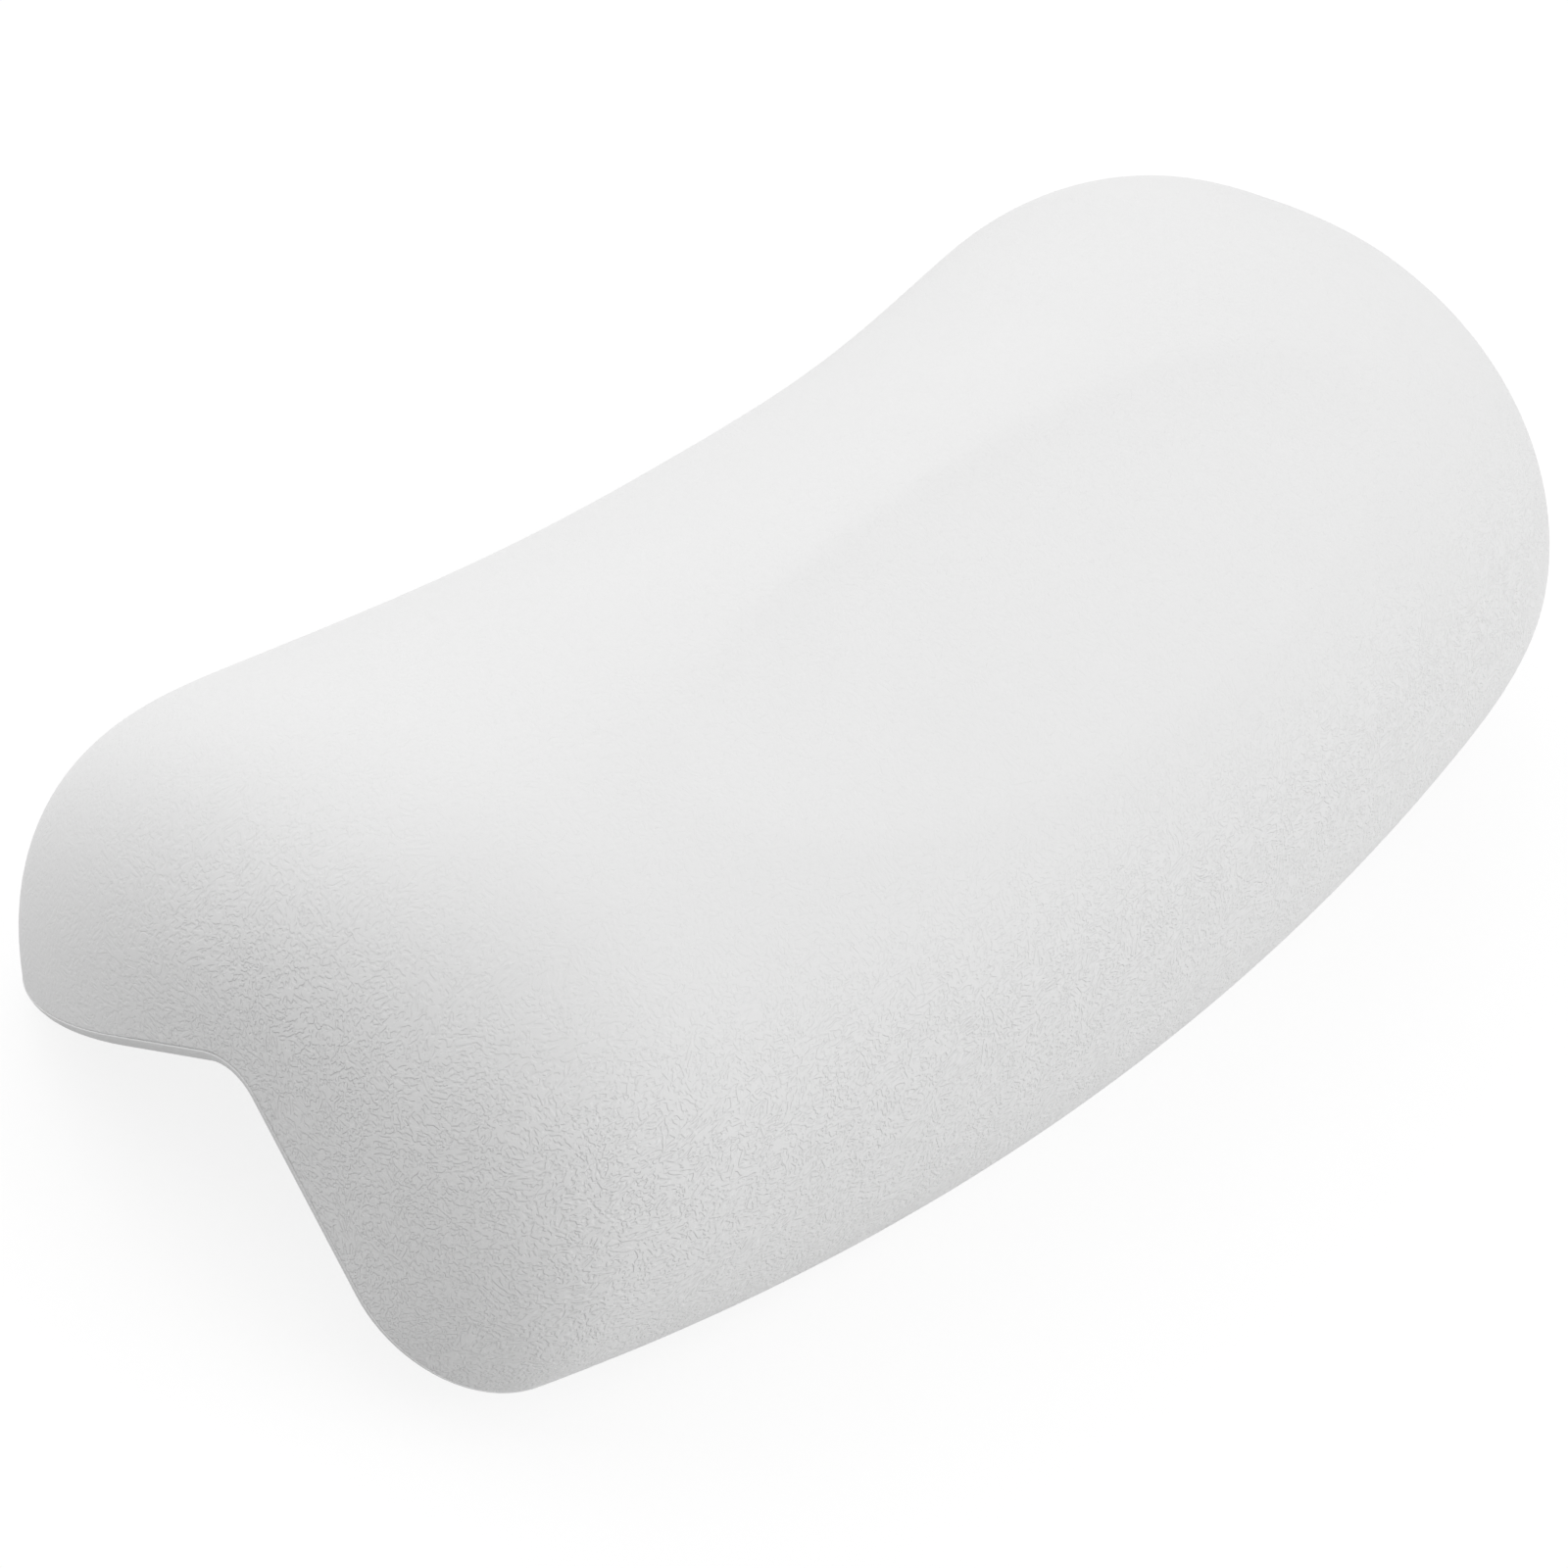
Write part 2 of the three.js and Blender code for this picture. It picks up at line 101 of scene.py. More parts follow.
spins = {joint["name"]: joint for joint in frame["joints"]}
lengthwise = Vector((1, 0, 0))
pad_up = -Vector(spins["pad_cup_right_spin"]["axis"]).normalized()
flap_up = -Vector(spins["flap_cup_right_spin"]["axis"]).normalized()
pad_way = lengthwise.cross(pad_up)
flap_way = flap_up.cross(lengthwise)
fold = math.acos(pad_up.dot(flap_up))

cup_place = Vector(spins["flap_cup_right_spin"]["pos_m"])
fold_line = cup_place - flap_way * flap_cup_reach * MM + flap_up * (crown_base + cup_stand_out) * MM
fold_line.x = 0
section_axes = np.array([lengthwise, flap_way, flap_up])


def to_row(points):
    """Points of the section frame, in millimetres with the flap level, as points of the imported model."""
    return np.asarray(points) @ section_axes * MM + np.array(fold_line)


print("fold of", round(math.degrees(fold), 2), "degrees at", [round(value, 4) for value in fold_line])

# %% [markdown]
# ## The form of the pillow
#
# A moulded cushion has no straight line in it: the pad's lower edge bows out, the flap's rear edge is
# waisted, the crown rolls off at both ends, and an oval dish takes the head. Sculpting it by hand would
# drift from the CAD solids, so the same driving sizes and the same curves are used here, only with many
# more points. A section is a smooth curve of radii about the fold line, and the ends draw it down to a bent
# sheet, whose edge is the parting line.

# %% Sizes of the form
half_length = 150.0
fold_radius = 6.0
pad_reach_middle, pad_reach_end = 81.6, 62.4
flap_reach_middle, flap_reach_end = 54.7, 74.5
pad_corner, flap_corner = 22.0, 48.7
pad_crown_middle, pad_crown_end = 54.2, 42.8
ridge_crown_middle, ridge_crown_end = 43.0, 32.4
flap_crown_middle, flap_crown_end = 20.2, 8.2
waist_power = 1.3
end_roll, roll_power = 45.9, 2.55
dish_depth, dish_length = 5.2, 176.0
dish_middle, dish_half = math.radians(93), math.radians(28)
dish_end_power, dish_edge = 2.5, 0.06
skin_wall = 1.8
lip_round = 6.7

# The bent sheet runs over the pad, the fold and the flap in these shares of the way across.
pad_share, flap_share = 10 / 21, 13 / 21
print("pillow of", 2 * half_length, "mm with a dish of", dish_length, "by", dish_depth, "mm")


# %% Curves of the form
def corner_cut(x, radius, half):
    """How far a rounded plan corner has drawn in at x."""
    share = np.clip((np.abs(x) - (half - radius)) / radius, 0, 1)
    return radius * (1 - np.sqrt(1 - share**2))


def bezier(controls, share):
    """Value of a Bezier curve with these control values."""
    row = controls
    while len(row) > 1:
        row = [a + (b - a) * share for a, b in zip(row, row[1:])]
    return row[0]


def plan_at(x, inset):
    """Reaches of pad and flap at x, their corner cuts, and the share of the flap's waist."""
    out = np.abs(x) / half_length
    waist = (0.5 - 0.5 * np.cos(np.pi * out)) ** waist_power
    pad = pad_reach_middle + (pad_reach_end - pad_reach_middle) * out**2 - inset
    flap = flap_reach_middle + (flap_reach_end - flap_reach_middle) * waist - inset
    half = half_length - inset
    pad_cut = corner_cut(x, pad_corner - inset, half)
    flap_cut = corner_cut(x, flap_corner - inset, half)
    return pad, flap, pad_cut, flap_cut, waist


def bent_sheet(x, share, inset, height):
    """Points and normals of the sheet that bends at the fold, at a height above the underside."""
    x, share = np.broadcast_arrays(x, share)
    pad, flap, pad_cut, flap_cut = plan_at(x, inset)[:4]
    tangent = (fold_radius + crown_base) * math.tan(fold / 2)
    on_pad = np.clip(1 - share / pad_share, 0, 1) * (pad - pad_cut - tangent)
    on_flap = np.clip((share - flap_share) / (1 - flap_share), 0, 1) * (flap - flap_cut - tangent)
    lean = fold * (1 - np.clip((share - pad_share) / (flap_share - pad_share), 0, 1))
    normal = np.stack([np.zeros_like(lean), -np.sin(lean), np.cos(lean)], -1)
    radius = fold_radius + height
    y = tangent + radius * normal[..., 1] - on_pad * math.cos(fold) + on_flap
    z = -(fold_radius + crown_base) + radius * normal[..., 2] - on_pad * math.sin(fold)
    return np.stack([x, y, z], -1), normal


def crown(x, share, inset):
    """Points of the crown, with the sheet below them and its normals."""
    x, share = np.broadcast_arrays(x, share)
    base, normal = bent_sheet(x, share, inset, crown_base)
    pad, flap, pad_cut, flap_cut, waist = plan_at(x, inset)
    pad_crown = pad_crown_middle + (pad_crown_end - pad_crown_middle) * waist - inset
    ridge_crown = ridge_crown_middle + (ridge_crown_end - ridge_crown_middle) * waist - inset
    flap_crown = flap_crown_middle + (flap_crown_end - flap_crown_middle) * waist - inset
    radius = bezier([pad, pad, pad_crown, ridge_crown, flap_crown, flap, flap], share)
    turn = share * (math.pi + fold)
    lengthwise_share = np.abs(x) / (dish_length / 2)
    inside = 1 - ((turn - dish_middle) / dish_half) ** 2 - lengthwise_share**dish_end_power
    radius = radius - dish_depth * dish_edge * np.logaddexp(0, inside / dish_edge)
    y = -radius * np.cos(turn - fold)
    z = radius * np.sin(turn - fold)
    along_pad = np.clip(-y * math.cos(fold) - z * math.sin(fold), 0, None) * pad_cut / pad
    along_flap = np.clip(y, 0, None) * flap_cut / flap
    y = y + along_pad * math.cos(fold) - along_flap
    z = z + along_pad * math.sin(fold)
    roll = end_roll - inset
    rolled = np.clip((np.abs(x) - (half_length - inset - roll)) / roll, 0, 1)
    fullness = (1 - rolled**roll_power) ** (1 / roll_power)
    full = np.stack([x, y, z], -1)
    return base + fullness[..., None] * (full - base), base, normal


section_points = 181
middle_section = crown(np.zeros(1), np.linspace(0, 1, section_points), 0)[0]
print("the middle section rises", round(float(middle_section[:, 2].max()), 1), "mm over the fold line")

# %% [markdown]
# ## Upper skin
#
# The skin that the photograph shows is one moulded shell over the foam, down to the parting line. A cloth
# simulation suits sewn covers, but this skin takes its form from a mould, so its points come straight from
# the curves above. Stations crowd towards the ends, where the crown rolls off, and rows crowd at the
# parting line, where the skin's edge turns in with a small round that makes the line show.

# %% Stations and rows of the upper skin
middle_stations, roll_stations = 41, 41
last_fullness = [0.045, 0.022, 0.011, 0.005, 0.0]
even_rows = 177
edge_rows = np.array([0, 0.0003, 0.0006, 0.001, 0.0015, 0.0025, 0.005])


def stations_of(inset):
    """Places along X: even in the middle, and by the fullness of the roll at both ends."""
    roll = end_roll - inset
    angles = np.linspace(0, math.pi / 2, roll_stations)[1:-1]
    fullness = np.concatenate([np.cos(angles) ** (2 / roll_power), last_fullness])
    end = half_length - inset - roll + roll * (1 - fullness**roll_power) ** (1 / roll_power)
    middle = np.linspace(0, half_length - inset - roll, middle_stations)
    right = np.concatenate([middle, end])
    return np.concatenate([-right[:0:-1], right])[:, None]


def rows_across():
    """Shares of the way from the pad's edge to the flap's, with more rows at both edges."""
    even = np.linspace(0, 1, even_rows)[1:-1]
    return np.concatenate([edge_rows, even, 1 - edge_rows[::-1]])[None, :]


print("upper skin:", stations_of(0).size, "stations of", rows_across().size, "points")


# %% Helpers for moulded shells
end_tolerance = 0.02


def round_rim(points, base, normal, radius):
    """Draws the surface in where it comes close to the parting line, as a small round."""
    rise = ((points - base) * normal).sum(-1)
    short = np.clip(radius - rise, 0, radius)
    draw = radius - np.sqrt(radius**2 - short**2)
    inward = np.zeros_like(points)
    columns = points.shape[1]
    for column, side, part in ((0, 1, slice(0, columns // 2)), (-1, -1, slice(columns // 2, columns))):
        edge = base[:, column]
        tangent = np.gradient(edge, axis=0)
        across = side * np.cross(normal[:, column], tangent)
        inward[:, part] = (across / np.linalg.norm(across, axis=-1, keepdims=True))[:, None]
    ends = np.abs(base[:, 0, 0]) > half_length - end_tolerance
    inward[ends] = 0
    inward[ends, :, 0] = -np.sign(base[ends, :, 0])
    return points + draw[..., None] * inward


def grid_quads(rows, columns, first, flipped):
    """Faces over a grid of points that starts at index first."""
    index = np.arange(rows * columns).reshape(rows, columns) + first
    corners = [index[:-1, :-1], index[1:, :-1], index[1:, 1:], index[:-1, 1:]]
    quads = np.stack(corners, -1).reshape(-1, 4)
    return quads[:, ::-1].tolist() if flipped else quads.tolist()


def edge_order(rows, columns):
    """Indices of a grid's edge, round from the pad's edge by the right end and the flap to the left end."""
    index = np.arange(rows * columns).reshape(rows, columns)
    return np.concatenate([index[:, 0], index[-1, 1:], index[-2::-1, -1], index[0, -2:0:-1]])


def band_quads(loop_a, loop_b):
    """Faces between two loops of as many points."""
    next_a, next_b = np.roll(loop_a, -1), np.roll(loop_b, -1)
    return np.stack([loop_a, loop_b, next_b, next_a], -1).tolist()


def add_piece(name, points, faces):
    """New object with this mesh, which sits at the origin with its place in its points."""
    mesh = bpy.data.meshes.new(name)
    mesh.from_pydata(to_row(points).tolist(), [], faces)
    mesh.validate()
    piece = bpy.data.objects.new(name, mesh)
    bpy.context.collection.objects.link(piece)
    return piece


def work_on(piece):
    """Makes this piece the only one selected, and the active one."""
    bpy.ops.object.select_all(action="DESELECT")
    piece.select_set(True)
    bpy.context.view_layer.objects.active = piece


print("edge of the upper skin:", len(edge_order(stations_of(0).size, rows_across().size)), "points round")

# %% Upper skin
rim_round = 0.18

shares = rows_across()
outer, sheet, sheet_normal = crown(stations_of(0), shares, 0)
outer = round_rim(outer, sheet, sheet_normal, rim_round)
inner = crown(stations_of(skin_wall), shares, skin_wall)[0]
rows, columns = outer.shape[:2]
skin_points = np.concatenate([outer.reshape(-1, 3), inner.reshape(-1, 3)])
rim = edge_order(rows, columns)
skin_faces = grid_quads(rows, columns, 0, False)
skin_faces += grid_quads(rows, columns, rows * columns, True)
skin_faces += band_quads(rim, rim + rows * columns)
pillow_top = add_piece("pillow_top", skin_points, skin_faces)
work_on(pillow_top)
bpy.ops.object.shade_smooth()
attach(pillow_top, "pillow")
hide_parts("upper_skin")
print("upper skin:", len(pillow_top.data.polygons), "faces")

# %% [markdown]
# ## Underside skin
#
# Below the parting line a second skin turns in by a rounded lip to the flats that lie on the rim and on the
# wall. It is built as loops round the edge, one below the other. Four wells are then joined on and cut
# out, so that the suction cups can sit sunk in it. Their cutter is a profile spun round, with a rounded
# mouth, the way such wells come out of a mould.

# %% Loops of the lip
lip_edge_round = 0.15
parting_gap = 0.05
lip_top = crown_base - parting_gap
lip_proud, proud_drop = 0.14, 0.9
pad_edge_steps, fold_edge_steps, flap_edge_steps = 24, 8, 20
half_stations = 56

edge_x = half_length * np.sin(np.linspace(-math.pi / 2, math.pi / 2, 2 * half_stations + 1))
edge_share = np.concatenate([
    np.linspace(0, pad_share, pad_edge_steps + 1)[:-1],
    np.linspace(pad_share, flap_share, fold_edge_steps + 1)[:-1],
    np.linspace(flap_share, 1, flap_edge_steps + 1),
])


def edge_of(inset, height):
    """The sheet's edge as one loop, with its normals and the directions that lead inwards."""
    x = edge_x * (half_length - inset) / half_length
    points, normals = bent_sheet(x[:, None], edge_share[None, :], inset, height)
    order = edge_order(*points.shape[:2])
    loop, normal = points.reshape(-1, 3)[order], normals.reshape(-1, 3)[order]
    inward = np.cross(normal, np.roll(loop, -1, 0) - np.roll(loop, 1, 0))
    return loop, normal, inward / np.linalg.norm(inward, axis=-1, keepdims=True)


def lip_loops(inset, height, drop, turn_in, edge_round, proud, angles):
    """Loops down a lip: each is lowered by up to drop and drawn in by up to turn_in."""
    loop, normal, inward = edge_of(inset, height)
    loops = []
    for angle in np.radians(angles):
        lowered = drop * math.sin(angle)
        short = max(0.0, edge_round - lowered)
        draw = turn_in * (1 - math.cos(angle)) + edge_round - math.sqrt(edge_round**2 - short**2)
        draw -= proud * max(0.0, 1 - lowered / proud_drop)
        loops.append(loop - lowered * normal + draw * inward)
    return loops, inward


def flat_faces(first, flipped):
    """Faces that close a lip's last loop: the pad's flat, strips round the fold, and the flap's flat."""
    turn_right = 2 * half_stations
    total = 2 * turn_right + 2 * (len(edge_share) - 1)
    right = [turn_right + j for j in range(len(edge_share))]
    left = [(total - j) % total for j in range(len(edge_share))]
    fold_end = pad_edge_steps + fold_edge_steps
    pad_flat = left[pad_edge_steps:0:-1] + list(range(right[pad_edge_steps] + 1))
    flap_flat = list(range(right[fold_end], left[fold_end] + 1))
    faces = [pad_flat[::-1], flap_flat[::-1]]
    for j in range(pad_edge_steps, fold_end):
        faces.append([left[j], left[j + 1], right[j + 1], right[j]])
    faces = [[corner + first for corner in face] for face in faces]
    return [face[::-1] for face in faces] if flipped else faces


print("edge of the underside:", len(edge_of(0, lip_top)[0]), "points round")

# %% Tray of the underside
outer_angles = [0, 0.8, 2, 3.5, 6, 10, 16, 23, 31, 40, 50, 60, 70, 80, 90]
inner_angles = [0, 18, 36, 54, 72, 90]
flat_support = 0.8

loops, inward = lip_loops(0, lip_top, lip_top, lip_round, lip_edge_round, lip_proud, outer_angles)
loops.append(loops[-1] + flat_support * inward)
outer_count = len(loops)
inner_loops, inner_inward = lip_loops(
    skin_wall, lip_top, lip_top - skin_wall, lip_round - skin_wall, 0, 0, inner_angles
)
inner_loops.append(inner_loops[-1] + flat_support * inner_inward)
loops += inner_loops
count = len(loops[0])
ring = np.arange(count)
tray_faces = flat_faces((outer_count - 1) * count, False) + flat_faces((len(loops) - 1) * count, True)
for k in range(len(loops) - 1):
    if k < outer_count - 1:
        tray_faces += band_quads(ring + k * count, ring + (k + 1) * count)
    elif k >= outer_count:
        tray_faces += band_quads(ring + (k + 1) * count, ring + k * count)
tray_faces += band_quads(ring + outer_count * count, ring)
underside = add_piece("pillow_underside", np.concatenate(loops), tray_faces)
print("underside:", len(underside.data.polygons), "faces before the wells")

# %% [markdown]
# ## Turned pieces and wells
#
# Sockets, cups and wells are all round, so one helper turns them: a circle is added, its points are moved
# onto the half section, and Spin carries it once about the axis. A cylinder primitive would do for a plain
# hole, but it has no rounded mouth. Booleans then join and cut, with the solver for closed meshes.

# %% Turning and cutting
turn_steps, arc_steps = 96, 6
turn_merge, cut_merge = 1e-6, 2e-6


def turned(name, profile):
    """Closed half section of (radius, height) points, in millimetres, spun about Z."""
    bpy.ops.object.select_all(action="DESELECT")
    bpy.ops.mesh.primitive_circle_add(vertices=len(profile), radius=MM, fill_type="NOTHING")
    piece = bpy.context.object
    piece.name = name
    for vertex, (radius, height) in zip(piece.data.vertices, profile):
        vertex.co = (radius * MM, 0, height * MM)
    bpy.ops.object.mode_set(mode="EDIT")
    bpy.ops.mesh.select_all(action="SELECT")
    bpy.ops.mesh.spin(steps=turn_steps, angle=2 * math.pi, center=(0, 0, 0), axis=(0, 0, 1))
    bpy.ops.mesh.select_all(action="SELECT")
    bpy.ops.mesh.remove_doubles(threshold=turn_merge)
    bpy.ops.mesh.delete_loose()
    bpy.ops.mesh.select_all(action="SELECT")
    bpy.ops.mesh.normals_make_consistent(inside=False)
    bpy.ops.object.mode_set(mode="OBJECT")
    return piece


def arc(centre, radius, start, end):
    """Points of a round in a half section, with its angles in degrees."""
    angles = np.radians(np.linspace(start, end, arc_steps + 1))
    return [(centre[0] + radius * math.cos(a), centre[1] + radius * math.sin(a)) for a in angles]


def seat_on(up, way, place):
    """Matrix to a place on an arm, with Y towards the arm's edge and Z into the pillow."""
    seat = Matrix((way.cross(up), way, up)).transposed().to_4x4()
    seat.translation = place
    return seat


def cup_seat(arm, side):
    """Matrix from a cup's own frame, which stands on the underside, to its place."""
    up, way = (pad_up, pad_way) if arm == "pad" else (flap_up, flap_way)
    joint = spins[f"{arm}_cup_{side}_spin"]
    return seat_on(up, way, Vector(joint["pos_m"]) + up * cup_stand_out * MM)


cup_names = [(arm, side) for arm in ("pad", "flap") for side in ("left", "right")]


def at_cups(master, name):
    """One mesh with a copy of the master at each cup's seat. The master is used up."""
    copies = []
    for arm, side in cup_names:
        copy = master.copy()
        copy.data = master.data.copy()
        copy.data.transform(cup_seat(arm, side))
        bpy.context.collection.objects.link(copy)
        copies.append(copy)
    bpy.data.objects.remove(master)
    bpy.ops.object.select_all(action="DESELECT")
    for copy in copies:
        copy.select_set(True)
    bpy.context.view_layer.objects.active = copies[0]
    bpy.ops.object.join()
    bpy.context.object.name = name
    return bpy.context.object


def combine(piece, tool, operation):
    """Joins a closed tool to a closed piece, or cuts it out, and removes the tool."""
    modifier = piece.modifiers.new("combine", "BOOLEAN")
    modifier.operation = operation
    modifier.object = tool
    modifier.solver = "MANIFOLD"
    work_on(piece)
    bpy.ops.object.modifier_apply(modifier=modifier.name)
    bpy.data.objects.remove(tool)
    bpy.ops.object.mode_set(mode="EDIT")
    bpy.ops.mesh.select_all(action="SELECT")
    bpy.ops.mesh.remove_doubles(threshold=cut_merge)
    bpy.ops.object.mode_set(mode="OBJECT")


print("cup seats:", [f"{arm} {side}" for arm, side in cup_names])

# %% Wells in the underside
smooth_angle = math.radians(30)
well_radius, well_depth = 21.0, 7.0
mouth_round, floor_round = 1.2, 0.8
well_floor_top = well_depth + skin_wall
socket_hole_radius = 6.8
overcut = 1.0

# The mouth's round starts just outside the flat, so that the cut crosses the flat cleanly.
arc_lead = 0.03

wall_profile = [
    (0, skin_wall / 2),
    (well_radius + skin_wall, skin_wall / 2),
    (well_radius + skin_wall, well_floor_top),
    (0, well_floor_top),
]
mouth_centre = (well_radius + mouth_round, mouth_round - arc_lead)
floor_centre = (well_radius - floor_round, well_depth - floor_round)
well_profile = [
    (0, -overcut),
    (well_radius + mouth_round, -overcut),
    *arc(mouth_centre, mouth_round, 270, 180),
    *arc(floor_centre, floor_round, 0, 90),
    (socket_hole_radius, well_depth),
    (socket_hole_radius, well_floor_top + overcut),
    (0, well_floor_top + overcut),
]
combine(underside, at_cups(turned("well_wall", wall_profile), "well_walls"), "UNION")
combine(underside, at_cups(turned("well_space", well_profile), "well_spaces"), "DIFFERENCE")
work_on(underside)
bpy.ops.object.shade_smooth_by_angle(angle=smooth_angle)
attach(underside, "pillow")
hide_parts("underside_skin")
print("underside:", len(underside.data.polygons), "faces with its wells")

# %% [markdown]
# ## Foam core
#
# The foam fills both skins and can't be seen while they are whole. It is still a soft body of its own, so it
# is made as full and as smooth as they are, from the same curves set in by the skin's thickness, and has
# pockets for the wells, the carrier plates and the heads of the cups.

# %% Foam core
foam_inset = skin_wall + seam_gap

foam_x = edge_x[:, None] * (half_length - foam_inset) / half_length
foam_top = crown(foam_x, edge_share[None, :], foam_inset)[0]
foam_loops = lip_loops(
    foam_inset, crown_base, crown_base - foam_inset, lip_round - foam_inset, 0, 0, inner_angles
)[0]
rows, columns = foam_top.shape[:2]
rim = edge_order(rows, columns)
foam_points = np.concatenate([foam_top.reshape(-1, 3), *foam_loops[1:]])
foam_faces = grid_quads(rows, columns, 0, False)
last_ring = rim
for k in range(len(foam_loops) - 1):
    next_ring = rows * columns + k * count + ring
    foam_faces += band_quads(last_ring, next_ring)
    last_ring = next_ring
foam_faces += flat_faces(int(last_ring[0]), False)
foam = add_piece("foam_body", foam_points, foam_faces)
print("foam:", len(foam.data.polygons), "faces before its pockets")

# %% Pockets in the foam
head_pocket_radius, head_top = 8.0, 18.7
plate_bottom, plate_thickness = 9.1, 2.0
plate_half_length, plate_half_width = 100.0, 13.0
pad_cup_reach = 40.0
pocket_corner = 0.2
plate_seats = (
    ("pad", pad_up, pad_way, pad_cup_reach),
    ("flap", flap_up, flap_way, flap_cup_reach),
)

pocket_profile = [
    (0, -overcut),
    (well_radius + foam_inset, -overcut),
    (well_radius + foam_inset, well_floor_top + seam_gap),
    (head_pocket_radius, well_floor_top + seam_gap),
    (head_pocket_radius, head_top + seam_gap),
    (0, head_top + seam_gap),
]
combine(foam, at_cups(turned("cup_pocket", pocket_profile), "cup_pockets"), "DIFFERENCE")
for arm, up, way, reach in plate_seats:
    bpy.ops.object.select_all(action="DESELECT")
    bpy.ops.mesh.primitive_cube_add(size=1)
    pocket = bpy.context.object
    pocket.name = f"{arm}_plate_pocket"
    size = (plate_half_length * 2, plate_half_width * 2, plate_thickness)
    pocket.data.transform(Matrix.Diagonal([(side + 2 * seam_gap) * MM for side in size] + [1]))
    corner = pocket.modifiers.new("corners", "BEVEL")
    corner.affect = "EDGES"
    corner.limit_method = "ANGLE"
    corner.width = pocket_corner * MM
    work_on(pocket)
    bpy.ops.object.modifier_apply(modifier=corner.name)
    height = plate_bottom + plate_thickness / 2 - crown_base
    pocket.data.transform(seat_on(up, way, fold_line + way * reach * MM + up * height * MM))
    combine(foam, pocket, "DIFFERENCE")
work_on(foam)
bpy.ops.object.shade_smooth_by_angle(angle=smooth_angle)
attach(foam, "pillow")
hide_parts("foam_core")
print("foam:", len(foam.data.polygons), "faces with its pockets")

# %% [markdown]
# ## Sockets and suction cups
#
# Each cup is moulded in soft clear vinyl: a bell with a narrow sealing land, a pull tab, a neck and a
# mushroom head that snaps into a flanged socket. The round parts are turned, and the tab is a box whose
# outer corners are rounded right over. A Bevel modifier breaks the edges of the socket and of the tab.

# %% Sockets
flange_bottom, flange_top, flange_radius = 5.2, 6.7, 10.0
bore_radius, sleeve_radius, barb_radius = 4.8, 6.5, 7.7
barb_bottom, barb_top = 11.4, 13.6
socket_edge_round, edge_segments = 0.25, 3
sharp_angle = math.radians(35)
seated = {}


def break_edges(piece, width):
    """Rounds the sharp edges of a piece by a small width, in millimetres."""
    bevel = piece.modifiers.new("edges", "BEVEL")
    bevel.limit_method = "ANGLE"
    bevel.angle_limit = sharp_angle
    bevel.width = width * MM
    bevel.segments = edge_segments
    work_on(piece)
    bpy.ops.object.modifier_apply(modifier=bevel.name)


def seat_copies(master, kind, body_of_cup):
    """A copy of the master for each cup's seat, each with its own mesh. The master is used up."""
    for arm, side in cup_names:
        node = f"{arm}_{kind}_{side}"
        piece = bpy.data.objects.new(f"{node}_moulded", master.data.copy())
        piece.data.transform(cup_seat(arm, side))
        bpy.context.collection.objects.link(piece)
        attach(piece, node if body_of_cup else "pillow")
        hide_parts(node)
        seated.setdefault(kind, []).append(piece)
    bpy.data.objects.remove(master)


socket_profile = [
    (bore_radius, flange_bottom),
    (flange_radius, flange_bottom),
    (flange_radius, flange_top),
    (sleeve_radius, flange_top),
    (sleeve_radius, barb_bottom),
    (barb_radius, barb_bottom),
    (sleeve_radius, barb_top),
    (bore_radius, barb_top),
]
socket = turned("socket", socket_profile)
break_edges(socket, socket_edge_round)
work_on(socket)
bpy.ops.object.shade_smooth_by_angle(angle=smooth_angle)
seat_copies(socket, "socket", False)
print("sockets:", len(seated["socket"]))

# %% Suction cups
cup_rim, cup_land = 19.0, 17.0
cup_lip = -cup_stand_out
rim_thickness, crown_thickness = 1.2, 2.6
rim_top = cup_lip + rim_thickness
shoulder_radius, shoulder_height = 8.5, 4.9
hollow_top = shoulder_height - crown_thickness
neck_radius, head_radius, dome_radius = 4.5, 6.3, 2.6
head_bottom = 13.9
curve_points = 15
curve_angles = np.radians(np.linspace(0, 90, curve_points))

hollow = [(cup_land * math.sin(a), cup_lip + (hollow_top - cup_lip) * math.cos(a)) for a in curve_angles]
bell = [
    (cup_rim + (shoulder_radius - cup_rim) * (1 - math.cos(a)),
     rim_top + (shoulder_height - rim_top) * math.sin(a) ** 2)
    for a in curve_angles
]
head_third = (head_top - head_bottom) / 3
head_dome = [
    (head_radius - (head_radius - dome_radius) * (1 - math.cos(a)),
     head_bottom + head_third * (1 + 2 * math.sin(a)))
    for a in curve_angles[::2]
]
cup_profile = [
    *hollow,
    (cup_rim, cup_lip),
    *bell,
    (neck_radius, shoulder_height),
    (neck_radius, head_bottom),
    (head_radius, head_bottom),
    *head_dome,
    (0, head_top),
]
cup = turned("cup", cup_profile)
print("cup:", len(cup.data.polygons), "faces before its tab")

# %% Pull tab
tab_width, tab_thickness, tab_rise, tab_end = 9.0, 1.1, 0.3, 25.5
tab_corner_segments, tab_flat_end = 14, 0.02
tab_edge_round = 0.3
cup_smooth_angle = math.radians(32)

